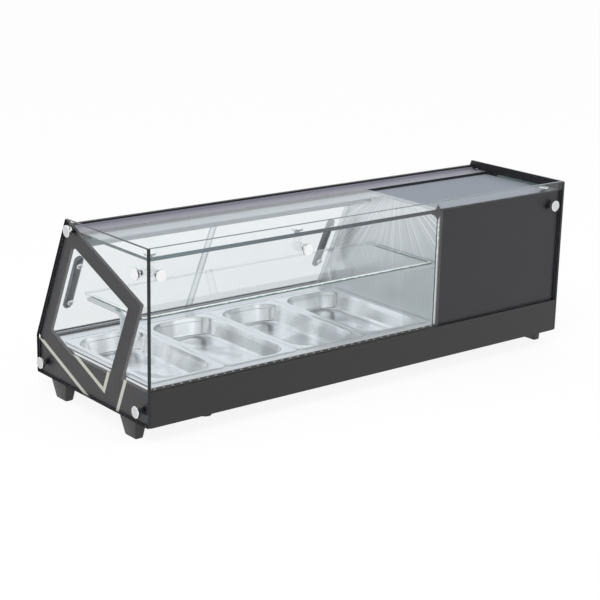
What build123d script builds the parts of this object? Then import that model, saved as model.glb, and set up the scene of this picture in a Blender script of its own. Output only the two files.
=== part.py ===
from build123d import *
import math
import os

os.makedirs("parts", exist_ok=True)

# Everything is drawn in millimetres from the case's own corner: x runs right from the left end
# pane's outer face, y runs back from the front pane's outer face and z runs up from the underside
# of the base. save() then moves each piece so that the origin is under the middle of the case.

# Overall sizes
case_length = 1106.0
case_depth = 411.0
foot_height = 34.0
glass_top = 345.0
back_height = 80.0
top_depth = 288.0
cap_reach = 10.0

# Materials
glass = 6.0
door_glass = 5.0
steel = 1.5
skin = 1.0
print_layer = 0.4
print_corner = 11.0
gap = 0.3

# Base and cold well
base_height = 71.5
base_rear = 408.0
shell_left = glass + 0.5
shell_right = case_length - shell_left
deck_top = 77.3
deck_sheet = 0.8
deck_front = 8.4
fold_low = base_height + 0.2
well_left = 32.0
well_right = 723.0
well_front = 30.0
well_rear = 338.0
well_floor = 28.0

# Gastronorm 1/3 pans
pan_count = 4
pan_left = 24.0
pan_front = 24.0
pan_pitch = 177.0
pan_width = 176.0
pan_length = 325.0
pan_depth = 40.0
pan_sheet = 0.8
pan_flange = 13.0
pan_corner = 14.0
basin_corner = 46.0
basin_draft = 8.0
basin_fillet = 12.0

# Display end and compressor bay
bay_start = 736.0
bay_print_left = 734.0
partition_thickness = 20.0
roof_top = 326.0
roof_rear = 239.8
ledge_front = 195.0
header_front = 240.5
rim_front = 284.0
rim_top = 334.0
bead_width = 1.9

# Sloped rear: distances are measured up the slope from its foot and inwards, square to it
slope_run = case_depth - top_depth
slope_rise = glass_top - back_height
slope_length = math.hypot(slope_run, slope_rise)
lean = math.degrees(math.atan2(slope_run, slope_rise))
track_left = 8.2
track_right = 735.5
outer_door_inset = 5.0
inner_door_inset = 17.0
slot_play = 0.7
left_door_foot = -1.0
right_door_foot = 4.6
door_head = 250.0
sill_front = 383.0
sill_rear = 410.4
sill_top = 80.0
left_door_span = (9.0, 378.0)
right_door_span = (352.0, 733.0)
handle_length = 132.0
handle_width = 20.0
handle_thickness = 6.0
handle_foot = 60.0
left_handle_x = 55.5
right_handle_x = 699.0
nut_inset = 19.0

# Glass fixings
cap_radius = 12.0
cap_disc = 5.5
cap_neck_radius = 9.0
roof_cap_reach = 5.0
stud_radius = 4.0
stud_reach = 13.5
bore_radius = 5.0
connector_x = (25.0, 368.0, 1070.0)
connector_y = 29.0
connector_height = 294.0
end_cap_places = ((connector_y, connector_height), (30.0, 27.0), (384.0, 27.0), (269.0, 325.0))

# Print on the left end pane: (y, z) corners of its ring, and the pale strips beside the ring
ring_outer = [(288.0, 345.0), (21.0, 235.0), (121.0, 0.0), (217.0, 0.0), (411.0, 80.0)]
ring_inner = [(265.0, 292.0), (75.0, 215.0), (161.0, 23.0), (352.0, 104.0)]
pale_width = 9.0
pale_overrun = 30.0
pale_length = 280.0

# Shelf
shelf_left = 8.0
shelf_right = 733.0
shelf_front = 25.0
shelf_rear = 235.0
shelf_bottom = 204.0
arm_bottom = 197.0
arm_front = 112.0
arm_x = 18.3
arm_width = 9.0
arm_height = 6.0
arm_foot = 18.0
clip_reach = 14.0
clip_half = 6.0

# Machinery
louvre_columns = 4
louvre_rows = 7
compressor_x = 850.0
compressor_y = 125.0
fan_x = 895.0
fan_z = 96.0
fan_radius = 68.0
fan_blades = 5
led_pitch = 20.0
led_count = 36
foot_inset = 9.75
foot_rows = (63.0, 319.0)
foot_sole = (17.5, 38.0)
foot_head = (25.0, 58.0)
foot_rake = 8.0
drain_x = 165.0
drain_y = 50.0
drain_foot = -20.0
gland_x = 1060.0
gland_z = 40.0

# Controls on the sloped bay cover, by x and by distance up the slope
control_up = 180.0
bezel_half = 18.0
thermostat_x = (861.0, 939.0)
display_x = (865.8, 899.2)
key_places = {"set": 908.0, "down": 918.0, "up": 928.0}
rocker_places = {"power_rocker": 968.0, "light_rocker": 998.0}
rocker_rest = 8.0
pivot_inset = 1.5
pivot_radius = 1.2


def save(shape, name):
    """Moves a piece from the case's corner to the part's origin and writes its file."""
    middle_y = (case_depth - cap_reach) / 2
    export_step(Pos(-case_length / 2, -middle_y, foot_height) * shape, f"parts/{name}.step")


def block(x0, x1, y0, y1, z0, z1):
    """Box between two corners."""
    return Pos((x0 + x1) / 2, (y0 + y1) / 2, (z0 + z1) / 2) * Box(x1 - x0, y1 - y0, z1 - z0)


def across(outline, x0, x1):
    """Solid of a closed (y, z) outline carried along x."""
    face = make_face(Plane.YZ * Polyline(*outline, close=True))
    return Pos(x0, 0, 0) * extrude(face, x1 - x0, dir=(1, 0, 0))


def rod(start, direction, radius, length):
    """Cylinder that starts at a point and runs along a direction."""
    plane = Plane(origin=start, z_dir=direction)
    return plane * Cylinder(radius, length, align=(Align.CENTER, Align.CENTER, Align.MIN))


def unit(a, b):
    """Unit direction from one (y, z) point to another."""
    run = math.hypot(b[0] - a[0], b[1] - a[1])
    return ((b[0] - a[0]) / run, (b[1] - a[1]) / run)


def along(point, direction, distance):
    """Point a distance further along a direction."""
    return (point[0] + direction[0] * distance, point[1] + direction[1] * distance)


def folded(line, thickness):
    """Closed outline of a folded sheet: a line of (y, z) points and its copy thickness to the left."""
    directions = [unit(a, b) for a, b in zip(line, line[1:])]
    normals = [(-rise, run) for run, rise in directions]
    befores = [normals[0]] + normals
    afters = normals + [normals[-1]]
    copy = []
    for point, n, m in zip(line, befores, afters):
        reach = thickness / (1 + n[0] * m[0] + n[1] * m[1])
        copy.append((point[0] + reach * (n[0] + m[0]), point[1] + reach * (n[1] + m[1])))
    return list(line) + copy[::-1]


def slope_y(z, inset=0.0):
    """y of the plane that lies inset inwards of the sloped rear, at height z."""
    return case_depth - (z - back_height) * slope_run / slope_rise - inset * slope_length / slope_rise


def slope_z(up, inset=0.0):
    """z of a point of the slope frame."""
    return back_height + (up * slope_rise - inset * slope_run) / slope_length


def on_slope(shape):
    """Leans an upright shape onto the rear: its y is then outwards of the slope and its z up it."""
    return Pos(0, case_depth, back_height) * Rot(lean, 0, 0) * shape


def end_outline():
    """Outline of an end pane in (y, z)."""
    return [(0, 0), (case_depth, 0), (case_depth, back_height), (top_depth, glass_top), (0, glass_top)]


def end_pane(x0):
    """Tempered end pane with its fixing bores."""
    pane = across(end_outline(), x0, x0 + glass)
    for y, z in end_cap_places:
        pane -= rod((x0 - 1, y, z), (1, 0, 0), bore_radius, glass + 2)
    return pane


def left_print():
    """Black print of the left end pane: the ring and the skirt that covers the base."""
    x0 = glass
    x1 = glass + print_layer
    ring = across(ring_outer, x0, x1) - across(ring_inner, x0 - 1, x1 + 1)
    skirt = block(x0, x1, 0, case_depth, 0, base_height) & across(end_outline(), x0, x1)
    layer = ring + skirt
    for y, z in end_cap_places:
        layer -= rod((x0 - 1, y, z), (1, 0, 0), bore_radius, print_layer + 2)
    return layer


def strip(start, direction, side):
    """Pale strip beside a line: side 1 is to the left of its direction, -1 to the right."""
    normal = (-direction[1] * side, direction[0] * side)
    end = along(start, direction, pale_length)
    corners = [start, end, along(end, normal, pale_width), along(start, normal, pale_width)]
    return across(corners, glass, glass + print_layer)


def pale_lines():
    """Pale strips on the skirt: one behind the ring, a V in the ring's foot, one before the ring."""
    foot_front, foot_rear, rear = ring_outer[2:]
    inner_foot = ring_inner[2]
    to_rear = unit(foot_rear, rear)
    to_front = unit(foot_front, ring_outer[1])
    behind = strip(along(foot_rear, to_rear, -pale_overrun), to_rear, -1)
    vee = strip(inner_foot, to_rear, 1) + strip(inner_foot, to_front, -1)
    before = strip(along(foot_front, to_front, -pale_overrun), to_front, 1)
    skirt = block(glass, glass + print_layer, 0, case_depth, 0, base_height)
    return [line & skirt for line in (behind, vee, before)]


def make_end_panes():
    """Both end panes, the print on each and the pale lines of the left one."""
    save(end_pane(0), "left_end_pane")
    save(end_pane(case_length - glass), "right_end_pane")
    lines = pale_lines()
    black = left_print()
    for line in lines:
        black -= line
    save(black, "left_pane_print")
    save(Compound(children=[line.solids()[0] for line in lines]), "left_pane_lines")
    x0 = case_length - glass - print_layer
    layer = across(end_outline(), x0, x0 + print_layer)
    for y, z in end_cap_places:
        layer -= rod((x0 - 1, y, z), (1, 0, 0), bore_radius, print_layer + 2)
    save(layer, "right_pane_print")


def make_front():
    """Front pane and the black bay panel behind its right part."""
    pane = block(shell_left, shell_right, 0, glass, base_height, glass_top)
    for x in connector_x:
        pane -= rod((x, -1, connector_height), (0, 1, 0), bore_radius, glass + 2)
    save(pane, "front_pane")
    panel = block(bay_print_left, shell_right, glass, glass + skin, base_height, roof_top)
    top_left_edge = panel.edges().filter_by(Axis.Y).group_by(Axis.X)[0].sort_by(Axis.Z)[-1:]
    panel = fillet(top_left_edge, print_corner)
    panel -= rod((connector_x[2], 0, connector_height), (0, 1, 0), bore_radius, 20)
    save(panel, "bay_front_panel")


def make_roof():
    """Roof pane, the dark panel under its right part and the seal along its front edge."""
    front = glass + 2.0
    pane = block(shell_left, shell_right, front, roof_rear, roof_top - glass, roof_top)
    for x in connector_x:
        pane -= rod((x, connector_y, roof_top - glass - 1), (0, 0, 1), bore_radius, glass + 2)
    save(pane, "roof_pane")
    pane_low = roof_top - glass
    panel = block(bay_start + 1, shell_right - 0.5, front, roof_rear, pane_low - 1.3, pane_low)
    panel -= rod((connector_x[2], connector_y, 300), (0, 0, 1), 10, 40)
    save(panel, "bay_roof_panel")
    y0 = glass + 0.05
    y1 = y0 + bead_width
    bead = block(shell_left, shell_right, y0, y1, roof_top - glass - 1, roof_top + 1)
    bay_gap = block(bay_print_left, shell_right + 1, 0, glass + skin + 0.05, 0, glass_top)
    star_x = 726.0
    star_z = roof_top - 6
    half_width = 24.0
    half_height = 18.0
    waist = 0.3
    tips = []
    for k in range(8):
        share = 1.0 if k % 2 == 0 else waist
        angle = math.radians(45 * k)
        tips.append((star_x + share * half_width * math.cos(angle),
                     star_z + share * half_height * math.sin(angle)))
    star_face = make_face(Plane.XZ * Polyline(*tips, close=True))
    star = Pos(0, y0, 0) * extrude(star_face, bead_width, dir=(0, 1, 0))
    upright = block(724.2, 726.3, y0, y1, base_height, roof_top - 8)
    save(bead + star + upright - bay_gap, "glazing_seal")


def make_base():
    """Folded black base, its foam and the holes for studs, drain, cable and air."""
    shell = block(shell_left, shell_right, 0, base_rear, 0, base_height)
    shell -= block(shell_left + steel, shell_right - steel, steel, base_rear - steel, steel, 100)
    shell += block(shell_left, shell_right, 0, 8, base_height - steel, base_height)
    shell += block(shell_left, shell_right, 400, base_rear, base_height - steel, base_height)
    for y, z in end_cap_places[1:3]:
        shell -= rod((-1, y, z), (1, 0, 0), bore_radius, case_length + 2)
    shell -= rod((drain_x, drain_y, -1), (0, 0, 1), 10.6, 5)
    shell -= rod((gland_x, base_rear + 1, gland_z), (0, -1, 0), 8.2, 5)
    for row in range(6):
        y = 90 + 24 * row
        shell -= block(800, 870, y, y + 8, -1, steel + 1)
        shell -= block(920, 990, y, y + 8, -1, steel + 1)
    save(shell, "base_shell")

    foam = block(shell_left + steel + gap, bay_start - 1, steel + gap, 399, steel + gap, base_height - 2)
    tub = block(well_left - 2, well_right + 2, well_front - 2, well_rear + 2, well_floor - 1.3, 90)
    pocket = block(50, 705, 75, 320, 17, well_floor)
    foam = foam - tub - pocket
    foam -= rod((drain_x, drain_y, 0), (0, 0, 1), 17, 40)
    for y, z in end_cap_places[1:3]:
        foam -= rod((0, y, z), (1, 0, 0), 9, 20)
    return foam


def make_well():
    """Cold well, the deck around it and the bars between the pans."""
    tub = block(well_left - skin, well_right + skin, well_front - skin, well_rear + skin,
                well_floor - skin, deck_top - deck_sheet - 0.05)
    tub += block(well_left - 9, well_right + 9, well_front - 9, well_rear + 9,
                 deck_top - deck_sheet - 1.05, deck_top - deck_sheet - 0.05)
    tub -= block(well_left, well_right, well_front, well_rear, well_floor, 90)
    tub -= rod((drain_x, drain_y, 0), (0, 0, 1), 6, 40)
    save(tub, "well_liner")

    low = deck_top - deck_sheet
    rear = sill_front - 0.4
    right = bay_start - 0.4
    deck = block(8, right, deck_front, rear, low, deck_top)
    deck += block(8, 8 + deck_sheet, deck_front, rear, fold_low, deck_top)
    deck += block(8, bay_start - 10.5, deck_front, deck_front + deck_sheet, fold_low, deck_top)
    deck -= block(well_left, well_right, well_front, well_rear, 60, 90)
    save(deck, "well_surround")

    bars = []
    for k in range(1, pan_count):
        x = pan_left + pan_pitch * k - 0.5
        bar = block(x - 5, x + 5, well_front + 0.2, well_rear - 0.2, deck_top - 3, deck_top - 0.2)
        bar += block(x - 1, x + 1, well_front + 0.2, well_rear - 0.2, deck_top - 12, deck_top - 3)
        bars.append(bar)
    save(Compound(children=bars), "pan_bars")

    lines = []
    x = 70
    passes = 6
    spacing = 40
    for k in range(passes):
        y = 97 + spacing * k
        ends = (690, x) if k % 2 else (x, 690)
        lines.append((ends[0], y, 22.5))
        lines.append((ends[1], y, 22.5))
    path = FilletPolyline(*lines, radius=19.5)
    section = Plane(origin=lines[0], z_dir=(1, 0, 0)) * Circle(4)
    save(sweep(section, path=path), "evaporator_coil")


def basin(width, length, top, bottom, corner, fillet_radius):
    """Tapered basin with rounded corners and a rounded foot."""
    upper = Plane.XY.offset(top) * RectangleRounded(width, length, corner)
    foot = (width - 2 * basin_draft, length - 2 * basin_draft)
    lower = Plane.XY.offset(bottom) * RectangleRounded(*foot, corner - basin_draft + 2)
    body = loft([upper, lower], ruled=True)
    return fillet(body.faces().sort_by(Axis.Z)[0].edges(), fillet_radius)


def make_pans():
    """Four pressed pans with flat rims."""
    rim_low = deck_top + 0.2
    rim_high = rim_low + pan_sheet
    mouth_w = pan_width - 2 * pan_flange
    mouth_l = pan_length - 2 * pan_flange
    floor = rim_high - pan_depth
    outer = basin(mouth_w, mouth_l, rim_low, floor, basin_corner, basin_fillet)
    inner = basin(mouth_w - 2 * pan_sheet, mouth_l - 2 * pan_sheet, rim_high + 1, floor + pan_sheet,
                  basin_corner - pan_sheet, basin_fillet - pan_sheet)
    rim = Pos(0, 0, rim_low) * extrude(RectangleRounded(pan_width, pan_length, pan_corner), pan_sheet)
    pan = rim + outer - inner
    for k in range(pan_count):
        x = pan_left + pan_pitch * k + pan_width / 2
        y = pan_front + pan_length / 2
        save(Pos(x, y, 0) * pan, f"pan_{k + 1}")


def make_partition():
    """Stainless partition between display and compressor bay, with its foam core."""
    x0 = bay_start
    x1 = bay_start + partition_thickness
    front = 9.0
    rear = 399.0
    knee = 8.0
    low = base_height + 0.2
    high = roof_top - glass - 1.5

    def outline(inset):
        door_side = inset + 3
        return [(front + inset, low + inset),
                (rear - inset, low + inset),
                (slope_y(low + knee, door_side), low + knee),
                (slope_y(high, door_side), high - inset),
                (front + inset, high - inset)]

    tray = across(outline(0), x0, x1) - across(outline(skin), x0 + skin, x1 + 1)
    flange = block(x0 - 9.5, x0 + 2, front - 0.9, front + 0.1, deck_top + 0.2, high)
    header_room = across([(230, 300), (230, 340), (320, 340), (320, 296), (296, 296)], x0 - 1, x1 + 1)
    save(tray + flange - header_room, "partition_skin")
    return across(outline(skin + 0.1), x0 + skin + 0.1, x1) - header_room


def make_shelf():
    """Glass shelf, its left bracket and the clips at its corners."""
    shelf_top = shelf_bottom + glass
    pane = block(shelf_left + 0.5, shelf_right, shelf_front, shelf_rear, shelf_bottom, shelf_top)
    save(pane, "shelf_glass")

    middle = arm_bottom - arm_height / 2
    path = [(arm_front, deck_top), (arm_front, middle), (shelf_rear - 2, middle)]
    bar = FilletPolyline(*[(arm_x, y, z) for y, z in path], radius=16)
    section = Plane(origin=(arm_x, arm_front, deck_top), z_dir=(0, 0, 1)) * Rectangle(arm_width, arm_height)
    bracket = sweep(section, path=bar)
    left = arm_x - arm_width / 2
    right = arm_x + arm_width / 2
    bracket += block(left, right, arm_front - arm_foot, arm_front + arm_foot, deck_top, deck_top + 2)
    bracket += block(left, right, arm_front + 20, shelf_rear - 16, arm_bottom, shelf_bottom - 0.1)
    save(bracket, "shelf_bracket")

    clips = []
    for x, side, wall in ((shelf_left + 0.1, 1, 0.3), (bay_start - 0.2, -1, 2.0)):
        x0, x1 = sorted((x, x + side * clip_reach))
        wall_x0, wall_x1 = sorted((x, x + side * wall))
        for y in (shelf_front + 8, shelf_rear - 8):
            y0 = y - clip_half
            y1 = y + clip_half
            clip = block(x0, x1, y0, y1, shelf_bottom - 2.6, shelf_bottom - 0.1)
            clip += block(x0, x1, y0, y1, shelf_top + 0.1, shelf_top + 1.6)
            clip += block(wall_x0, wall_x1, y0, y1, shelf_bottom - 2.6, shelf_top + 1.6)
            clips.append(clip)
    save(Compound(children=clips), "shelf_clips")


def door_slot(inset, low, high):
    """Slot that holds a door pane, between two distances up the slope."""
    inner = -inset - door_glass - slot_play
    outer = -inset + slot_play
    return on_slope(block(track_left - 5, track_right + 5, inner, outer, low, high))


def make_tracks():
    """Lower and upper door tracks and the black header over the upper one."""
    lower = block(track_left, track_right, sill_front, sill_rear, base_height + 0.1, sill_top)
    for inset, foot in ((outer_door_inset, left_door_foot), (inner_door_inset, right_door_foot)):
        lower -= door_slot(inset, foot - 1, foot + 20)
    save(lower, "lower_track")

    upper_left = 14.0
    upper = on_slope(block(upper_left, track_right, -28, -3, door_head - 14, door_head + 12))
    upper += block(upper_left, track_right, ledge_front, 276, 317.9, 319.8)
    web = [(267, 300), (284, 300), (280, 318), (267, 318)]
    upper += across(web, upper_left, track_right)
    for inset in (outer_door_inset, inner_door_inset):
        upper -= door_slot(inset, door_head - 30, door_head + 6)
    save(upper, "upper_track")

    foot = slope_z(238, 1)
    line = [(header_front, roof_top - glass), (header_front, roof_top), (rim_front, roof_top),
            (rim_front, rim_top), (slope_y(rim_top, 1), rim_top), (slope_y(foot, 1), foot)]
    header = across(folded(line[::-1], steel), shell_left, shell_right)
    plate_foot = foot + 8
    plate_rear = slope_y(plate_foot, 1)
    plate = [(header_front, 318), (header_front, roof_top), (rim_front, roof_top), (rim_front, rim_top),
             (slope_y(rim_top, 1), rim_top), (plate_rear, plate_foot), (plate_rear - 42, plate_foot)]
    header += across(plate, shell_left, shell_left + steel)
    header += across(plate, shell_right - steel, shell_right)
    y, z = end_cap_places[3]
    notch = stud_reach + 3
    header -= rod((0, y, z), (1, 0, 0), bore_radius, notch)
    header -= rod((case_length, y, z), (-1, 0, 0), bore_radius, notch)
    save(header, "rear_header")


def obround(length, width, thickness, edge):
    """Round-ended bar lying in the slope frame: its length up the slope, its thickness outwards."""
    face = Plane.XZ * SlotOverall(length, width, rotation=90)
    bar = extrude(face, thickness, dir=(0, 1, 0))
    front = bar.faces().sort_by(Axis.Y)[-1]
    return fillet(front.edges(), edge)


def make_doors():
    """Two sliding panes, each with a round-ended grip and the nuts behind it."""
    doors = (("left", left_door_span, outer_door_inset, left_door_foot, left_handle_x),
             ("right", right_door_span, inner_door_inset, right_door_foot, right_handle_x))
    for side, span, inset, foot, handle_x in doors:
        heights = (handle_foot + nut_inset, handle_foot + handle_length - nut_inset)
        pane = block(span[0], span[1], -inset - door_glass, -inset, foot, door_head)
        for height in heights:
            pane -= rod((handle_x, -inset + 1, height), (0, -1, 0), 3.5, door_glass + 2)
        save(on_slope(pane), f"door_{side}")
        grip = obround(handle_length, handle_width, handle_thickness, 2.5)
        grip = Pos(handle_x, -inset, handle_foot + handle_length / 2) * grip
        for height in heights:
            grip += rod((handle_x, -inset + 1, height), (0, -1, 0), 2.5, door_glass + 2)
        save(on_slope(grip), f"door_{side}_handle")
        nuts = []
        for height in heights:
            nut = rod((handle_x, -inset - door_glass, height), (0, -1, 0), 7, 1.2)
            nut += rod((handle_x, -inset - door_glass, height), (0, -1, 0), 5, 4.5)
            nut -= rod((handle_x, -inset - door_glass + 1, height), (0, -1, 0), 2.55, 3.2)
            nuts.append(on_slope(nut))
        save(Compound(children=nuts), f"door_{side}_nuts")


def cap(place, outward, reach):
    """Chrome cap: a disc on a neck, with its stud through the glass."""
    inward = tuple(-v for v in outward)
    head = tuple(p + reach * v for p, v in zip(place, outward))
    disc = fillet(rod(head, inward, cap_radius, min(cap_disc, reach)).edges(), 1.0)
    neck = rod(head, inward, cap_neck_radius, reach)
    return disc + neck + rod(place, inward, stud_radius, stud_reach)


def make_fixings():
    """Caps on the outside of the panes and the connectors inside the corners."""
    caps = []
    for y, z in end_cap_places:
        caps.append(cap((0, y, z), (-1, 0, 0), cap_reach))
        caps.append(cap((case_length, y, z), (1, 0, 0), cap_reach))
    for x in connector_x:
        caps.append(cap((x, 0, connector_height), (0, -1, 0), cap_reach))
        caps.append(cap((x, connector_y, roof_top), (0, 0, 1), roof_cap_reach))
    save(Compound(children=caps), "glass_caps")

    connectors = []
    leg = 8.0
    bore = stud_radius + 0.1
    bore_depth = stud_reach + 2
    pane_low = roof_top - glass - 0.05
    y = connector_y
    z = connector_height
    for x, side in zip(connector_x, (-1, 0, 1)):
        front = glass + (skin if side > 0 else 0) + 0.05
        body = Pos(x, y, z) * Sphere(10)
        body += rod((x, front, z), (0, 1, 0), leg, y - front)
        body += rod((x, y, z), (0, 0, 1), leg, pane_low - z)
        body -= rod((x, 0, z), (0, 1, 0), bore, bore_depth)
        body -= rod((x, y, roof_top), (0, 0, -1), bore, bore_depth)
        if side:
            wall = case_length if side > 0 else 0.0
            side_leg = abs(wall - x) - glass - print_layer - 0.1
            body += rod((x, y, z), (side, 0, 0), leg, side_leg)
            body -= rod((wall, y, z), (-side, 0, 0), bore, bore_depth)
        connectors.append(body)
    save(Compound(children=connectors), "glass_connectors")


def make_feet():
    """Four tapered feet under the corners."""
    feet = []
    splay = (foot_head[0] - foot_sole[0]) / 2
    for x, side in ((foot_inset, 1), (case_length - foot_inset, -1)):
        for y in foot_rows:
            sole = Plane(origin=(x, y, -foot_height)) * RectangleRounded(*foot_sole, 3)
            head = Plane(origin=(x + side * splay, y + foot_rake, -0.1)) * RectangleRounded(*foot_head, 3)
            feet.append(loft([sole, head], ruled=True))
    save(Compound(children=feet), "feet")


def make_lighting():
    """Strip of small lamps along the foot of the front pane and the probe on the partition."""
    strip_low = base_height + 0.5
    strip_front = 7.6
    save(block(14, 723, strip_front, deck_front - 0.05, strip_low, strip_low + 3.5), "light_strip")
    lamps = []
    for k in range(led_count):
        x = 18 + led_pitch * k
        lamps.append(block(x, x + 4, strip_front - 0.9, strip_front, strip_low + 0.8, strip_low + 2.4))
    save(Compound(children=lamps), "light_strip_lamps")
    probe_y = 354.0
    probe_low = 94.0
    probe = rod((bay_start - 6, probe_y, probe_low), (0, 0, 1), 3, 30)
    probe += block(bay_start - 8, bay_start - 0.05, probe_y - 4, probe_y + 4, probe_low + 12, probe_low + 18)
    save(probe, "temperature_probe")


def make_drain():
    """Drain spigot under the well and the cap on it."""
    spigot = rod((drain_x, drain_y, -8), (0, 0, 1), 10, well_floor - skin - 0.05 + 8)
    spigot += rod((drain_x, drain_y, 24.5), (0, 0, 1), 16, well_floor - skin - 0.05 - 24.5)
    spigot -= rod((drain_x, drain_y, -9), (0, 0, 1), 6, 50)
    save(spigot, "drain_spigot")
    cap_body = rod((drain_x, drain_y, drain_foot), (0, 0, 1), 13, -2 - drain_foot)
    cap_body -= rod((drain_x, drain_y, drain_foot + 3), (0, 0, 1), 10.3, 20)
    save(cap_body, "drain_cap")


def make_rear_panel():
    """Sloped bay cover with slots, its screws, and the openings for the controls."""
    left = bay_start + partition_thickness + 1
    right = shell_right - 0.5
    sheet = 1.2
    head = slope_z(236, 1)
    knee = (base_rear + 1.4, back_height + 0.7)
    panel = across(folded([(knee[0], 60), knee, (slope_y(head, 1), head)], sheet), left, right)

    slot = extrude(Plane.XZ * SlotOverall(62, 5), 16, dir=(0, 1, 0))
    for column in range(louvre_columns):
        for row in range(louvre_rows):
            panel -= on_slope(Pos(795 + 78 * column, -8, 22 + 15 * row) * slot)

    low = control_up - bezel_half
    high = control_up + bezel_half
    panel -= on_slope(block(thermostat_x[0] + 4, thermostat_x[1] - 4, -8, 5, low + 4, high - 4))
    for x in rocker_places.values():
        panel -= on_slope(block(x - 8, x + 8, -8, 5, low + 2, high - 2))

    screws = []
    for x in (left + 12, (left + right) / 2, right - 12):
        for up in (10, 226):
            panel -= on_slope(rod((x, 3, up), (0, -1, 0), 2.2, 9))
            screw = rod((x, 1.2, up), (0, -1, 0), 4.2, 2.2) + rod((x, 0, up), (0, -1, 0), 2.0, 9)
            screws.append(on_slope(screw))
    save(panel, "bay_rear_panel")
    save(Compound(children=screws), "bay_rear_screws")


def make_controls():
    """Thermostat with display and three keys, and two rocker switches."""
    bezel = 2.5
    low = control_up - bezel_half
    high = control_up + bezel_half
    x0, x1 = thermostat_x
    d0, d1 = display_x
    window = 10.2
    body = block(x0, x1, -1, bezel, low, high) + block(x0 + 5, x1 - 5, -46, -1, low + 5, high - 5)
    body -= block(d0 - gap, d1 + gap, 1.5, bezel + 1, control_up - window - gap, control_up + window + gap)
    for x in key_places.values():
        body -= block(x - 3.8, x + 3.8, -0.3, bezel + 1, control_up - 2.8, control_up + 2.8)
    save(on_slope(body), "thermostat")
    save(on_slope(block(d0, d1, 1.55, bezel, control_up - window, control_up + window)), "thermostat_display")
    for name, x in key_places.items():
        key = block(x - 3.5, x + 3.5, 0.9, 3.3, control_up - 2.5, control_up + 2.5)
        key = fillet(key.edges().filter_by(Axis.Y), 0.8)
        save(on_slope(key), f"{name}_key")

    well_x = 5.5
    well_up = 13.4
    body_x = 7.5
    pivot_reach = 6.5
    bodies = []
    for name, x in rocker_places.items():
        switch = block(x - 9, x + 9, -1, 2, low, high)
        switch += block(x - body_x, x + body_x, -22, -1, low + 2.5, high - 2.5)
        switch -= block(x - well_x, x + well_x, -9, 3, control_up - well_up, control_up + well_up)
        pin_start = x - pivot_reach
        switch -= rod((pin_start - 0.2, -pivot_inset, control_up), (1, 0, 0), pivot_radius + 0.15,
                      2 * pivot_reach + 0.4)
        bodies.append(on_slope(switch))
        rocker = block(-5.2, 5.2, -1.0, 3.6, -12.2, 12.2)
        rocker -= Pos(0, 8.9, 0) * Rot(0, 90, 0) * Cylinder(6.0, 20)
        rocker = Pos(x, -pivot_inset, control_up) * Rot(rocker_rest, 0, 0) * rocker
        rocker += rod((pin_start, -pivot_inset, control_up), (1, 0, 0), pivot_radius, 2 * pivot_reach)
        save(on_slope(rocker), name)
    save(Compound(children=bodies), "switch_bodies")


def make_compressor():
    """Hermetic compressor on its plate with the relay box on its side, its mounts and the pipes."""
    x = compressor_x
    y = compressor_y
    plate = block(x - 78, x + 78, y - 58, y + 58, 15, 17.8)
    pot = Pos(x, y, 17.5) * Cylinder(56, 138, align=(Align.CENTER, Align.CENTER, Align.MIN))
    pot = fillet(pot.edges(), 22)
    seam = Pos(x, y, 87.5) * Cylinder(59, 4)
    relay_box = block(x + 50, x + 86, y - 22, y + 22, 60, 114)
    save(plate + pot + seam + relay_box, "compressor")
    mounts = []
    for dx in (-66, 66):
        for dy in (-46, 46):
            mounts.append(rod((x + dx, y + dy, steel), (0, 0, 1), 9, 15 - steel))
    save(Compound(children=mounts), "compressor_mounts")
    save(block(985, 1085, 20, 110, steel, 58), "electrical_box")

    pot_top = 155.6
    over_condenser = 186.0
    over_pot = 200.0
    condenser_x = fan_x - 60
    condenser_y = 334.0
    to_condenser = [(x - 30, y + 20, pot_top), (x - 30, y + 20, over_condenser),
                    (x - 30, condenser_y, over_condenser), (condenser_x, condenser_y, over_condenser),
                    (condenser_x, condenser_y, 162)]
    to_well = [(x + 20, y - 20, pot_top), (x + 20, y - 20, over_pot), (770, y - 20, over_pot),
               (770, y - 20, 22.5)]
    pipes = []
    for route in (to_condenser, to_well):
        path = FilletPolyline(*route, radius=12)
        section = Plane(origin=route[0], z_dir=(0, 0, 1)) * Circle(4)
        pipes.append(sweep(section, path=path))
    drier = fillet(rod((1020, 150, 70), (0, 1, 0), 11, 90).edges(), 5)
    pipes.append(drier + block(1017, 1023, 190, 200, steel, 64))
    save(Compound(children=pipes), "refrigerant_pipes")


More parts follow.
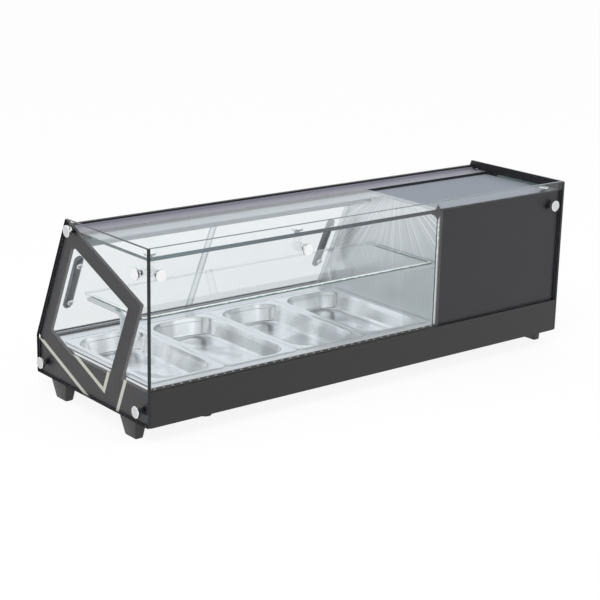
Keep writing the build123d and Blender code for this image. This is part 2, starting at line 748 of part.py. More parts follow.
def make_condenser():
    """Condenser with its fins, and the fan, motor and shroud in front of it."""
    half = 92.0
    fin_pitch = 13.0
    low = steel + 4
    body = block(fan_x - half, fan_x + half, 318, 350, low, low + 156)
    for k in range(1, 12):
        z = low + fin_pitch * k
        body -= block(fan_x - half + 6, fan_x + half - 6, 317, 345, z - 4.5, z + 4.5)
    body += block(fan_x - half, fan_x + half, 318, 350, steel, low + 2)
    save(body, "condenser")

    spider_y = 260.0
    shroud = block(fan_x - half, fan_x + half, 314, 317.5, steel, steel + 160)
    shroud -= rod((fan_x, 300, fan_z), (0, 1, 0), fan_radius + 6, 30)
    for dx in (-80, 80):
        for dz in (-26, 26):
            shroud += rod((fan_x + dx, spider_y + 2, fan_z + dz), (0, 1, 0), 3, 53)
    shroud += block(fan_x - 86, fan_x + 86, spider_y, spider_y + 2.5, fan_z - 32, fan_z + 32)
    shroud -= rod((fan_x, spider_y - 1, fan_z), (0, 1, 0), 8, 5)
    save(shroud, "fan_shroud")

    shaft_radius = 3.0
    motor = fillet(rod((fan_x, spider_y - 42, fan_z), (0, 1, 0), 27, 42).edges(), 4)
    motor -= rod((fan_x, spider_y - 20, fan_z), (0, 1, 0), shaft_radius + 0.05, 30)
    save(motor, "fan_motor")

    hub_y = 270.0
    fan = rod((fan_x, hub_y, fan_z), (0, 1, 0), 18, 26)
    fan += rod((fan_x, hub_y - 24, fan_z), (0, 1, 0), shaft_radius, 26)
    blade = Pos(0, 0, 42) * Rot(0, 0, 24) * Box(38, 1.6, 52)
    for k in range(fan_blades):
        fan += Pos(fan_x, hub_y + 13, fan_z) * Rot(0, 360 / fan_blades * k, 0) * blade
    save(fan & rod((fan_x, 200, fan_z), (0, 1, 0), fan_radius, 120), "fan_blade")


def make_gland():
    """Cable gland in the base's rear wall."""
    nut = extrude(Plane(origin=(gland_x, base_rear, gland_z), z_dir=(0, 1, 0)) * RegularPolygon(11, 6), 2.6)
    body = rod((gland_x, base_rear - 14, gland_z), (0, 1, 0), 8, 14.2)
    body += rod((gland_x, base_rear - 6, gland_z), (0, 1, 0), 11, 6 - steel)
    save(nut + body - rod((gland_x, base_rear - 20, gland_z), (0, 1, 0), 4, 40), "cable_gland")


base_foam = make_base()
make_well()
make_pans()
make_end_panes()
make_front()
make_roof()
partition_foam = make_partition()
save(Compound(children=[base_foam, partition_foam]), "foam_insulation")
make_shelf()
make_tracks()
make_doors()
make_fixings()
make_feet()
make_lighting()
make_drain()
make_rear_panel()
make_controls()
make_compressor()
make_condenser()
make_gland()
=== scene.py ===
"""Looks of the refrigerated tapas display case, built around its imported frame.

Shapes are worked out in the case's own millimetres: x runs right from the left end pane's outer
face, y runs back from the front pane's outer face and z runs up from the underside of the base.
Part.build() carries them into the row frame, in metres.
"""

import math

import bmesh
import bpy
import numpy as np
from mathutils import Matrix
from mathutils.geometry import tessellate_polygon


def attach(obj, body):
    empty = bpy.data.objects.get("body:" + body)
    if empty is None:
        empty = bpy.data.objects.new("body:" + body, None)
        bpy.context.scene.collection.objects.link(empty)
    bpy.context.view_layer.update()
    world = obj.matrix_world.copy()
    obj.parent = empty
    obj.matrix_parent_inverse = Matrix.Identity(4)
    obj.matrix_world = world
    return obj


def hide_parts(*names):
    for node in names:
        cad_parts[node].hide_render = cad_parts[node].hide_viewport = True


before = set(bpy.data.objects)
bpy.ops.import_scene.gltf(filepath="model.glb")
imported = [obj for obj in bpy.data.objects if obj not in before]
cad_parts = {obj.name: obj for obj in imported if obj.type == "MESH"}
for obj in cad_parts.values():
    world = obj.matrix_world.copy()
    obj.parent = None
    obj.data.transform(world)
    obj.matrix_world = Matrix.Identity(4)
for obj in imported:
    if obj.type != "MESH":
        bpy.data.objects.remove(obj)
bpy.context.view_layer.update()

# Sizes of the case, in its own millimetres
CORNER = np.array([553.0, 200.5, -34.0])
LENGTH = 1106.0
DEPTH = 411.0
BASE_TOP = 71.5
DECK_TOP = 77.3
RIM_TOP = 78.3
BACK_TOP = 80.0
APEX_Y = 288.0
GLASS_TOP = 345.0
ROOF_TOP = 326.0
ROOF_REAR = 239.8
INNER_LEFT = 6.5
INNER_RIGHT = LENGTH - INNER_LEFT
PANE = 5.9
BEVEL = 0.7
PRINT_LEFT = 734.0
LEAN = math.atan2(DEPTH - APEX_Y, GLASS_TOP - BACK_TOP)
END_CAPS = ((29.0, 294.0), (30.0, 27.0), (384.0, 27.0), (269.0, 325.0))
FRONT_CAPS = (25.0, 368.0, 1070.0)
CAP_LINE = 29.0
CAP_HEIGHT = 294.0
BORE = 5.0
CAP_REACH = 10.0
RING_OUTER = ((288.0, 345.0), (21.0, 235.0), (121.0, 0.0))
RING_INNER = ((265.0, 292.0), (75.0, 215.0), (161.0, 23.0), (352.0, 104.0))


# Shapes

def upright(front):
    """Places a pane that faces the front: (x, z, depth) points, with depth running back."""
    def place(points):
        return np.stack([points[..., 0], front + points[..., 2], points[..., 1]], -1)
    return place


def level(top):
    """Places a pane that lies flat: (x, y, depth) points, with depth running down."""
    def place(points):
        return np.stack([points[..., 0], points[..., 1], top - points[..., 2]], -1)
    return place


def endwise(outer_x, inwards):
    """Places an end pane: (y, z, depth) points, with depth running inwards, which is 1 or -1."""
    def place(points):
        return np.stack([outer_x + inwards * points[..., 2], points[..., 0], points[..., 1]], -1)
    return place


def leaned(points):
    """Turns upright (x, y, z) points back about x by the rear's lean and sets them on its foot."""
    x, y, z = points[..., 0], points[..., 1], points[..., 2]
    cosine, sine = math.cos(LEAN), math.sin(LEAN)
    return np.stack([x, DEPTH + y * cosine - z * sine, BACK_TOP + y * sine + z * cosine], -1)


def on_slope(outer):
    """Places a door pane: (x, height, depth) points, outer being how far inside the slope it starts."""
    def place(points):
        return leaned(np.stack([points[..., 0], -outer - points[..., 2], points[..., 1]], -1))
    return place


def rounded(corners, radius, steps=6):
    """Closed outline whose corners are arcs: each centre is the corner moved in by
    radius * (n1 + n2) / (1 + n1.n2), n1 and n2 being the normals of the sides that meet there,
    and the arc turns evenly from n1 to n2. Hollow corners turn the other way."""
    corners = np.asarray(corners, float)
    radius = np.broadcast_to(np.asarray(radius, float), len(corners))
    side = np.roll(corners, -1, 0) - corners
    side /= np.linalg.norm(side, axis=1)[:, None]
    after = np.stack([side[:, 1], -side[:, 0]], -1)
    before = np.roll(after, 1, 0)
    start = np.arctan2(before[:, 1], before[:, 0])
    turn = (np.arctan2(after[:, 1], after[:, 0]) - start + np.pi) % (2 * np.pi) - np.pi
    bend = np.where(turn < 0, -1.0, 1.0) * radius
    centre = corners - (bend / (1 + (before * after).sum(1)))[:, None] * (before + after)
    angle = start[:, None] + turn[:, None] * np.linspace(0, 1, steps)
    reach = bend[:, None]
    arc = np.stack([centre[:, :1] + reach * np.cos(angle), centre[:, 1:] + reach * np.sin(angle)], -1)
    return arc.reshape(-1, 2)


def inset(loop, distance):
    """Loop moved to the left of its direction: p - d * (n1 + n2) / (1 + n1.n2)."""
    side = np.roll(loop, -1, 0) - loop
    side /= np.linalg.norm(side, axis=1)[:, None]
    after = np.stack([side[:, 1], -side[:, 0]], -1)
    before = np.roll(after, 1, 0)
    return loop - distance * (before + after) / (1 + (before * after).sum(1))[:, None]


def circle(centre, radius, steps=32, turn=1):
    """Points of a circle, anticlockwise for turn 1 and clockwise for turn -1."""
    angle = turn * np.linspace(0, 2 * np.pi, steps, endpoint=False)
    return np.asarray(centre, float) + radius * np.stack([np.cos(angle), np.sin(angle)], -1)


def rectangle(x0, x1, y0, y1):
    """Corners of a rectangle, anticlockwise."""
    return [(x0, y0), (x1, y0), (x1, y1), (x0, y1)]


def softened(line, radius, steps=5):
    """Open line of (radius, height) or (inset, depth) points whose inner corners are arcs."""
    line = np.asarray(line, float)
    closed = rounded(line, radius, steps).reshape(len(line), steps, 2)
    return np.concatenate([line[:1], closed[1:-1].reshape(-1, 2), line[-1:]])


class Part:
    """Surfaces of one piece, in the case's millimetres, that are welded into closed skins."""

    def __init__(self):
        self.points = []
        self.corners = []
        self.sizes = []
        self.finishes = []
        self.count = 0

    def add(self, points, faces, finish=0):
        """Adds points and a (faces, corners) array of indexes into them."""
        points = np.asarray(points, float).reshape(-1, 3)
        faces = np.asarray(faces)
        self.points.append(points)
        self.corners.append((faces + self.count).ravel())
        self.sizes.append(np.full(len(faces), faces.shape[1]))
        self.finishes.append(np.full(len(faces), finish))
        self.count += len(points)
        return self

    def grid(self, points, finish=0, ring=False):
        """Surface of two parameters: an (m, n, 3) array of its points, closed along n for a ring."""
        points = np.asarray(points, float)
        if ring:
            points = np.concatenate([points, points[:, :1]], 1)
        rows, columns = points.shape[:2]
        index = np.arange(rows * columns).reshape(rows, columns)
        quads = [index[:-1, :-1], index[1:, :-1], index[1:, 1:], index[:-1, 1:]]
        return self.add(points, np.stack(quads, -1).reshape(-1, 4), finish)

    def flat(self, loops, finish=0):
        """Flat face between an outer loop and its holes, each an (n, 3) array."""
        triangles = tessellate_polygon([loop.tolist() for loop in loops])
        return self.add(np.concatenate(loops), np.array(triangles), finish)

    def loft(self, rings, finish=0):
        """Solid through equal rings: the grid between them and a flat face on the first and last."""
        rings = np.asarray(rings, float)
        around = np.arange(rings.shape[1])[None]
        self.grid(rings, finish, ring=True)
        return self.add(rings[0], around, finish).add(rings[-1], around, finish)

    def turned(self, profile, base, axis, finish=0, steps=40):
        """Surface of revolution: base + height * axis + radius * (cos t * a + sin t * b)."""
        axis = np.asarray(axis, float)
        across = np.cross(axis, [0.0, 0.0, 1.0] if abs(axis[2]) < 0.9 else [1.0, 0.0, 0.0])
        across /= np.linalg.norm(across)
        other = np.cross(axis, across)
        angle = np.linspace(0, 2 * np.pi, steps, endpoint=False)
        spoke = np.cos(angle)[:, None] * across + np.sin(angle)[:, None] * other
        profile = np.asarray(profile, float)
        rings = profile[:, 1][:, None, None] * axis + profile[:, 0][:, None, None] * spoke
        return self.grid(np.asarray(base, float) + rings, finish, ring=True)

    def slab(self, outline, holes, thickness, place, bevel=BEVEL, finishes=(0, 0, 0)):
        """Flat pane: each loop is carried through the section (bevel, 0), (0, bevel),
        (0, thickness - bevel), (bevel, thickness); faces fill between the inner loops.
        place turns (u, v, depth) into case points. finishes are those of the face at depth 0,
        the face at full depth, and the rims."""
        section = ((bevel, 0.0), (0.0, bevel), (0.0, thickness - bevel), (bevel, thickness))
        first, last = [], []
        for loop in (outline, *holes):
            rings = []
            for step_in, depth in section:
                moved = inset(loop, step_in)
                level = np.full((len(moved), 1), depth)
                rings.append(place(np.concatenate([moved, level], 1)))
            self.grid(np.array(rings), finishes[2], ring=True)
            first.append(rings[0])
            last.append(rings[-1])
        self.flat(first, finishes[0])
        return self.flat(last, finishes[1])

    def build(self, name, body, slot, finishes, stands_for=(), move=None, sharp=30.0):
        """Welds the surfaces, turns them outwards and hangs the piece on its body."""
        points = np.concatenate(self.points)
        if move is not None:
            points = move(points)
        points = (points - CORNER) / 1000.0
        corners = np.concatenate(self.corners)
        sizes = np.concatenate(self.sizes)
        mesh = bpy.data.meshes.new(name)
        mesh.vertices.add(len(points))
        mesh.vertices.foreach_set("co", points.astype(np.float32).ravel())
        mesh.loops.add(len(corners))
        mesh.loops.foreach_set("vertex_index", corners.astype(np.int32))
        mesh.polygons.add(len(sizes))
        mesh.polygons.foreach_set("loop_start", (np.cumsum(sizes) - sizes).astype(np.int32))
        mesh.polygons.foreach_set("material_index", np.concatenate(self.finishes).astype(np.int32))
        mesh.update(calc_edges=True)
        for finish in finishes:
            mesh.materials.append(finish)
        skin = bmesh.new()
        skin.from_mesh(mesh)
        bmesh.ops.remove_doubles(skin, verts=skin.verts, dist=4e-6)
        bmesh.ops.recalc_face_normals(skin, faces=skin.faces)
        skin.to_mesh(mesh)
        skin.free()
        mesh.polygons.foreach_set("use_smooth", np.ones(len(mesh.polygons), bool))
        mesh.set_sharp_from_angle(angle=math.radians(sharp))
        piece = bpy.data.objects.new(name, mesh)
        bpy.context.scene.collection.objects.link(piece)
        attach(piece, body)
        if stands_for:
            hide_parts(*stands_for)
        return piece


# Finishes

class Wire:
    """A socket of a finish. Arithmetic on it adds Math nodes."""

    def __init__(self, graph, socket):
        self.graph = graph
        self.socket = socket

    def maths(self, operation, first, second):
        """One Math node."""
        return self.graph.node("ShaderNodeMath", {"operation": operation}, {0: first, 1: second})

    def __add__(self, other):
        return self.maths("ADD", self, other)

    __radd__ = __add__

    def __sub__(self, other):
        return self.maths("SUBTRACT", self, other)

    def __rsub__(self, other):
        return self.maths("SUBTRACT", other, self)

    def __mul__(self, other):
        return self.maths("MULTIPLY", self, other)

    __rmul__ = __mul__

    def __pow__(self, other):
        return self.maths("POWER", self, other)

    def __gt__(self, other):
        return self.maths("GREATER_THAN", self, other)

    def __lt__(self, other):
        return self.maths("LESS_THAN", self, other)

    def split(self):
        """The X, Y and Z of a vector."""
        parts = self.graph.node("ShaderNodeSeparateXYZ", {}, {0: self})
        return [Wire(self.graph, socket) for socket in parts.socket.node.outputs]


class Graph:
    """Node tree of a material or of the world."""

    def __init__(self, owner, output):
        owner.use_nodes = True
        self.owner = owner
        self.tree = owner.node_tree
        self.tree.nodes.clear()
        self.output = self.tree.nodes.new(output)

    def node(self, kind, settings=None, sockets=None, output=0):
        """Adds a node, sets it up, fills or links its sockets and returns one output."""
        made = self.tree.nodes.new(kind)
        for key, value in (settings or {}).items():
            setattr(made, key, value)
        for key, value in (sockets or {}).items():
            if isinstance(value, Wire):
                self.tree.links.new(value.socket, made.inputs[key])
            else:
                made.inputs[key].default_value = value
        return Wire(self, made.outputs[output])

    def blend(self, factor, first, second):
        """Colour between two colours."""
        sockets = {0: factor, 6: colour(first), 7: colour(second)}
        return self.node("ShaderNodeMix", {"data_type": "RGBA"}, sockets, 2)

    def finish(self, shader):
        """Ends the tree in a shader and gives back the material."""
        self.tree.links.new(shader.socket, self.output.inputs[0])
        return self.owner


def colour(value):
    """A colour socket's value from three numbers, one number or a wire."""
    if isinstance(value, Wire):
        return value
    if isinstance(value, (int, float)):
        return (value, value, value, 1.0)
    return (*value, 1.0)


def new_finish(name):
    """Tree of a new material."""
    return Graph(bpy.data.materials.new(name), "ShaderNodeOutputMaterial")


def place_of(graph, scale=(1.0, 1.0, 1.0)):
    """Object coordinates, stretched."""
    place = graph.node("ShaderNodeTexCoord", output=3)
    return graph.node("ShaderNodeMapping", {}, {"Vector": place, "Scale": scale})


def grain(graph, scale, detail=3.0, stretch=(1.0, 1.0, 1.0), roughness=0.55):
    """Noise between 0 and 1 on the piece's own coordinates."""
    sockets = {"Vector": place_of(graph, stretch), "Scale": scale, "Detail": detail, "Roughness": roughness}
    return graph.node("ShaderNodeTexNoise", {}, sockets)


def raised(graph, height, strength, distance):
    """Normal of a fine relief."""
    return graph.node("ShaderNodeBump", {}, {"Height": height, "Strength": strength, "Distance": distance})


def surface(graph, **sockets):
    """Principled shader by socket names, with _ for a space."""
    named = {}
    for key, value in sockets.items():
        label = {"Specular": "Specular IOR Level", "IOR": "IOR"}.get(key, key.replace("_", " "))
        named[label] = colour(value) if "Color" in label else value
    return graph.node("ShaderNodeBsdfPrincipled", {}, named)


PEEL_SCALE = 900.0


def coated(name, shade, rough, relief=0.1, specular=0.5):
    """Powder-coated or moulded surface: fine orange peel and slightly uneven sheen."""
    graph = new_finish(name)
    peel = grain(graph, PEEL_SCALE)
    cloud = grain(graph, 18.0, 2.0)
    low = tuple(c * 0.88 for c in shade)
    high = tuple(c * 1.12 for c in shade)
    return graph.finish(surface(
        graph, Base_Color=graph.blend(cloud, low, high), Roughness=rough - 0.05 + 0.1 * cloud,
        Specular=specular, Normal=raised(graph, peel, relief, 0.0002)))


def brushed(name, shade, rough, stretch):
    """Brushed metal: noise drawn out along the brushing sets its sheen, tone and fine lines."""
    graph = new_finish(name)
    lines = grain(graph, 60.0, 6.0, stretch, 0.7)
    cloud = grain(graph, 9.0, 2.0)
    low = tuple(c * 0.9 for c in shade)
    high = tuple(min(1.0, c * 1.08) for c in shade)
    tone = graph.blend(lines * 0.6 + cloud * 0.4, low, high)
    return graph.finish(surface(
        graph, Base_Color=tone, Metallic=1.0, Roughness=rough - 0.06 + 0.12 * lines,
        Normal=raised(graph, lines, 0.12, 0.0002)))


def polished(name, shade, rough):
    """Plated or polished metal with faint wear in its gloss."""
    graph = new_finish(name)
    cloud = grain(graph, 120.0, 4.0)
    return graph.finish(surface(
        graph, Base_Color=graph.blend(cloud, tuple(c * 0.97 for c in shade), shade), Metallic=1.0,
        Roughness=rough + 0.05 * cloud))


def mirror_share(graph, least):
    """Share of light that a clear surface reflects: least + (1 - least) * facing ** 5."""
    facing = graph.node("ShaderNodeLayerWeight", {}, {"Blend": 0.5}, 1)
    return least + (1.0 - least) * facing ** 5.0


def clear(name, tint, least, rough=0.0, mask=None):
    """Clear face: tinted see-through, with its reflection mixed in by the viewing angle. Where
    least is None it reflects nothing."""
    graph = new_finish(name)
    through = graph.node("ShaderNodeBsdfTransparent", {}, {"Color": colour(tint)})
    if least is None:
        cloud = grain(graph, 4.0)
        same = graph.blend(cloud, tuple(0.998 * c for c in tint), tint)
        return graph.finish(graph.node("ShaderNodeBsdfTransparent", {}, {"Color": same}))
    gloss = graph.node("ShaderNodeBsdfAnisotropic", {}, {"Color": colour(1.0), "Roughness": rough})
    share = mirror_share(graph, least)
    if mask is not None:
        share = share * mask(graph)
    return graph.finish(graph.node("ShaderNodeMixShader", {}, {0: share, 1: through, 2: gloss}))


def glowing(name, shade, strength):
    """Small lamp lens."""
    graph = new_finish(name)
    cloud = grain(graph, 400.0)
    return graph.finish(surface(graph, Base_Color=shade, Roughness=0.3, Emission_Strength=strength,
                                Emission_Color=graph.blend(cloud, tuple(0.94 * c for c in shade), shade)))


def beside_panel(graph):
    """1 where the front pane is clear, 0 before the black bay panel."""
    x, _, z = place_of(graph).split()
    past = (x > (PRINT_LEFT - CORNER[0]) / 1000.0) * (z < (ROOF_TOP - CORNER[2]) / 1000.0)
    return 1.0 - past


def left_of(y, z, start, end):
    """1 on the left of the line between two (y, z) case points: the cross product's sign."""
    start = (np.array(start) - CORNER[1:]) / 1000.0
    end = (np.array(end) - CORNER[1:]) / 1000.0
    run, rise = float(end[0] - start[0]), float(end[1] - start[1])
    return ((z - float(start[1])) * run - (y - float(start[0])) * rise) > 0.0


def beside_bay(graph):
    """1 where the roof pane is over the cold part, 0 over the bay."""
    return place_of(graph).split()[0] < (PRINT_LEFT - CORNER[0]) / 1000.0


def beside_ring(graph):
    """1 where the left end pane is clear: before the printed ring and in its window."""
    _, y, z = place_of(graph).split()
    ring = left_of(y, z, *RING_OUTER[:2]) * left_of(y, z, *RING_OUTER[1:])
    window = left_of(y, z, RING_INNER[3], RING_INNER[0])
    for start, end in zip(RING_INNER, RING_INNER[1:]):
        window = window * left_of(y, z, start, end)
    return (1.0 - ring + window) * (z > (BASE_TOP - CORNER[2]) / 1000.0)


def printed(name, shade, specular=0.5, rough=0.35):
    """Even coat of print with the gloss of the glass that it is on."""
    graph = new_finish(name)
    cloud = grain(graph, 12.0, 2.0)
    tone = graph.blend(cloud, tuple(c * 0.96 for c in shade), tuple(c * 1.04 for c in shade))
    return graph.finish(surface(graph, Base_Color=tone, Roughness=rough + 0.02 * cloud, Specular=specular))


def beyond(graph, axis, start, width=2.0):
    """0 below a case coordinate and 1 above it, in millimetres, with a ramp of the given width."""
    where = place_of(graph).split()["xyz".index(axis)]
    first = (start - CORNER["xyz".index(axis)]) / 1000.0
    sockets = {0: where, 1: first, 2: first + width / 1000.0, 3: 0.0, 4: 1.0}
    return graph.node("ShaderNodeMapRange", {"clamp": True}, sockets)


def edge_finish(name, axis, start, below, above, seen_above=1.0, specular=0.5):
    """Ground glass edge whose tone, and how far it shows, changes past a place on one axis."""
    graph = new_finish(name)
    wander = grain(graph, 40.0)
    past = beyond(graph, axis, start)
    low = graph.blend(wander, *below)
    high = graph.blend(wander, *above)
    return graph.finish(surface(
        graph, Base_Color=graph.blend(past, low, high), Roughness=0.2, Specular=specular,
        Alpha=1.0 - (1.0 - seen_above) * past, Normal=raised(graph, wander, 0.15, 0.0005)))


HEADER_FLAT = (325.4, 330.0)
HEADER_RIDGE = 285.0
SEAL_FADE = (60.0, 560.0)
# Centre from which the painted highlight streaks on the partition fan out
GLINT_FAN_CENTRE = (150.0, 360.0)
SHELF_HIGHLIGHT_LEVEL = 207.3
RAIL_DARK_BOUNDS = (385.0, 399.0)
DECK_STRIP = 12.0


def header_finish():
    """Black coated steel whose flat top strip is painted grey: a painted reflection of the bright space
    above.
    """
    graph = new_finish("rear_header_painted_sheen")
    # Painted reflection: the flat strip in front of the ridge is grey instead of black
    strip = beyond(graph, "z", HEADER_FLAT[0], 0.3) * (1.0 - beyond(graph, "z", HEADER_FLAT[1], 0.5))
    strip = strip * (1.0 - beyond(graph, "y", HEADER_RIDGE, 0.5))
    cloud = grain(graph, 18.0, 2.0)
    grey = graph.blend(cloud, (0.27, 0.27, 0.32), (0.30, 0.30, 0.35))
    black = graph.blend(cloud, (0.010, 0.010, 0.012), (0.014, 0.014, 0.016))
    return graph.finish(surface(graph, Base_Color=graph.blend(strip, black, grey), Specular=0.25,
                                Roughness=0.35 + 0.1 * cloud))


def bead_finish():
    """Dark seal that pales to teal grey towards the left end."""
    graph = new_finish("glazing_seal_rubber")
    cloud = grain(graph, 60.0)
    along = beyond(graph, "x", *SEAL_FADE)
    grey = graph.blend(cloud, (0.10, 0.16, 0.185), (0.13, 0.20, 0.23))
    dark = graph.blend(cloud, (0.012, 0.016, 0.024), (0.02, 0.026, 0.036))
    tone = graph.blend(along, grey, dark)
    return graph.finish(surface(graph, Base_Color=tone, Roughness=0.5, Specular=0.2))


def partition_finish():
    """Bright sheet with painted highlights: pale streaks that fan out, as noise of the angle about a point
    of its top, standing in for reflections of the strip lamps.
    """
    graph = new_finish("partition_steel_painted_glints")
    _, y, z = place_of(graph).split()
    run = y - (GLINT_FAN_CENTRE[0] - CORNER[1]) / 1000.0
    rise = (GLINT_FAN_CENTRE[1] - CORNER[2]) / 1000.0 - z
    angle = run.maths("ARCTAN2", run, rise)
    sockets = {"W": angle, "Scale": 22.0, "Detail": 2.0}
    fan = graph.node("ShaderNodeTexNoise", {"noise_dimensions": "1D"}, sockets)
    # Painted highlight: near white where the angle noise peaks, fading out downwards and gone below 150 mm
    painted_glint = graph.node("ShaderNodeMapRange", {}, {0: fan, 1: 0.48, 2: 0.62, 3: 0.0, 4: 1.0})
    high = beyond(graph, "z", 150.0, 150.0)
    cloud = grain(graph, 9.0, 2.0)
    tone = graph.blend(cloud, (0.62, 0.65, 0.67), (0.78, 0.80, 0.82))
    return graph.finish(surface(
        graph, Base_Color=graph.blend(painted_glint * high, tone, (0.98, 0.99, 1.0)), Metallic=0.7,
        Roughness=0.34 - 0.06 * painted_glint, Specular=0.5))


def shelf_edge_finish():
    """Green ground edge with a painted highlight, a bright uneven line, at its top; the rear edge hardly
    shows.
    """
    graph = new_finish("shelf_edge_painted_highlight")
    wander = grain(graph, 90.0, 2.0)
    _, _, z = place_of(graph).split()
    # Painted highlight: near white above an uneven height on the edge
    line = (z + 0.004 * (wander - 0.5)) > (SHELF_HIGHLIGHT_LEVEL - CORNER[2]) / 1000.0
    back = beyond(graph, "y", 205.0)
    green = graph.blend(grain(graph, 40.0), (0.015, 0.075, 0.055), (0.06, 0.20, 0.16))
    return graph.finish(surface(
        graph, Base_Color=graph.blend(line, green, (0.92, 0.95, 0.95)), Roughness=0.2, Specular=0.5,
        Alpha=1.0 - 0.75 * back))


def steel_with_painted_reflections():
    """Pressed steel whose walls carry soft upright bands of grey and near white: painted reflections, as of
    its own corners.
    """
    graph = new_finish("pan_steel_painted_reflections")
    painted_reflection_bands = grain(graph, 17.0, 1.0, (1.0, 1.0, 0.12), 0.4)
    sockets = {0: painted_reflection_bands, 1: 0.36, 2: 0.58, 3: 0.0, 4: 1.0}
    soft = graph.node("ShaderNodeMapRange", {"interpolation_type": "SMOOTHSTEP"}, sockets)
    fine = grain(graph, 240.0, 3.0, (0.2, 1.0, 1.0))
    # Painted reflections on the walls; the rim keeps one plain tone
    tone = graph.blend(soft, (0.62, 0.63, 0.64), (0.96, 0.965, 0.97))
    wall = 1.0 - beyond(graph, "z", RIM_TOP - 1.2, 0.8)
    return graph.finish(surface(
        graph, Base_Color=graph.blend(wall, (0.90, 0.905, 0.91), tone), Metallic=1.0,
        Roughness=0.19 + 0.04 * fine))


def rail_finish():
    """Grey sill rail that is dark in front of one line and behind another."""
    graph = new_finish("sill_rail")
    cloud = grain(graph, 30.0)
    dark_bands = 1.0 - beyond(graph, "y", RAIL_DARK_BOUNDS[0], 1.0) + beyond(graph, "y", RAIL_DARK_BOUNDS[1], 1.0)
    grey = graph.blend(cloud, (0.38, 0.41, 0.46), (0.44, 0.47, 0.52))
    return graph.finish(surface(graph, Base_Color=graph.blend(dark_bands, grey, (0.02, 0.022, 0.03)),
                                Roughness=0.4, Specular=0.3))


def deck_finish():
    """Brushed steel deck with a dark seal strip on its left edge."""
    graph = new_finish("deck_steel")
    lines = grain(graph, 60.0, 5.0, (1.0, 30.0, 30.0), 0.7)
    strip = beyond(graph, "z", DECK_TOP - 0.4, 0.2) * (1.0 - beyond(graph, "x", DECK_STRIP, 1.0))
    steel = graph.blend(lines, (0.78, 0.79, 0.81), (0.88, 0.89, 0.90))
    return graph.finish(surface(graph, Base_Color=graph.blend(strip, steel, (0.01, 0.01, 0.015)),
                                Metallic=1.0 - strip, Roughness=0.26 + 0.1 * lines))


STEEL = (0.90, 0.905, 0.91)
NEUTRAL = (0.995, 0.999, 0.997)
DOOR_TINT = (0.905, 0.92, 0.93)
glass_face = clear("clear_glass_face", NEUTRAL, 0.04)
glass_back = clear("clear_glass_back", NEUTRAL, None)
left_face = clear("left_pane_face", NEUTRAL, 0.04, mask=beside_ring)
right_face = clear("right_pane_face", NEUTRAL, None)
front_face = clear("front_pane_face", NEUTRAL, 0.04, mask=beside_panel)
roof_face = clear("roof_pane_face", NEUTRAL, 0.04, mask=beside_bay)
front_back = clear("front_pane_back", (0.975, 0.985, 0.985), 0.05, mask=beside_panel)
door_face = clear("door_glass_face", DOOR_TINT, 0.04)
door_back = clear("door_glass_back", DOOR_TINT, None)
DEEP = ((0.022, 0.024, 0.026), (0.034, 0.038, 0.040))
SEA_GREY = ((0.09, 0.13, 0.13), (0.20, 0.26, 0.26))
TOP_EDGE_HIGHLIGHT = ((0.45, 0.46, 0.46), (0.9, 0.9, 0.9))
rim_left = edge_finish("left_pane_edge", "y", DEPTH, DEEP, DEEP, specular=0.2)
# The right pane's top edge is painted pale grey to white as a painted highlight; its other edges stay dark
rim_right = edge_finish("right_pane_edge", "z", 343.0, DEEP, TOP_EDGE_HIGHLIGHT, specular=0.3)
rim_front = edge_finish("front_pane_edge", "z", 343.0, DEEP, SEA_GREY, specular=0.3)
rim_roof = edge_finish("roof_pane_edge", "y", 200.0, SEA_GREY, DEEP, specular=0.2)
rim_shelf = shelf_edge_finish()
rim_door = edge_finish("door_edge", "z", 0.0, SEA_GREY, SEA_GREY, seen_above=0.5)
black_print = printed("black_print_under_glass", (0.0145, 0.0125, 0.017))
inner_print = printed("black_print_inside", (0.02, 0.02, 0.022), 0.3, 0.3)
pale_print = printed("pale_print_under_glass", (0.64, 0.63, 0.55), 0.3)
black_steel = coated("black_coated_steel", (0.012, 0.012, 0.0125), 0.34, relief=0.04)
# Painted reflection: the bay roof's black print gets a flat blue-grey with no sheen in place of the
# reflection of the bright space above; the roof glass over it reflects nothing
roof_print_painted_reflection = printed("bay_roof_painted_reflection", (0.32, 0.345, 0.395), 0.0, 0.5)
rail_grey = coated("upper_rail_grey", (0.36, 0.41, 0.45), 0.4, relief=0.02, specular=0.3)
header_coat_painted_sheen = header_finish()
dark_seal = bead_finish()
partition_steel_painted_glints = partition_finish()
satin_face = polished("cap_face_satin", (0.93, 0.93, 0.93), 0.3)
# Painted shade: the same cap face, darker, for caps that sit on black print
shaded_cap_face = polished("cap_face_painted_shade", (0.66, 0.66, 0.66), 0.3)
light_border = coated("grip_border", (0.33, 0.35, 0.38), 0.3, relief=0.02)
black_rubber = coated("black_rubber", (0.010, 0.010, 0.010), 0.5)
black_plastic = coated("black_plastic", (0.02, 0.02, 0.021), 0.35)
white_plastic = coated("white_plastic", (0.7, 0.7, 0.68), 0.4)
slate_grip = coated("slate_grip", (0.075, 0.085, 0.10), 0.28)
grey_key = coated("grey_key", (0.3, 0.3, 0.3), 0.4)
foam_core = coated("foam_core", (0.75, 0.68, 0.45), 0.9, relief=0.5)
copper_pipe = polished("copper_pipe", (0.8, 0.42, 0.28), 0.25)
compressor_paint = coated("compressor_paint", (0.015, 0.015, 0.016), 0.25)
fin_metal = brushed("fin_metal", (0.6, 0.6, 0.6), 0.35, (1.0, 1.0, 20.0))
chrome = polished("chrome", (0.88, 0.88, 0.88), 0.06)
brushed_along = brushed("stainless_brushed_along", STEEL, 0.24, (1.0, 30.0, 30.0))
brushed_deep = brushed("stainless_brushed_deep", STEEL, 0.26, (30.0, 1.0, 30.0))
pan_steel_painted_reflections = steel_with_painted_reflections()
sill_rail = rail_finish()
deck_steel = deck_finish()
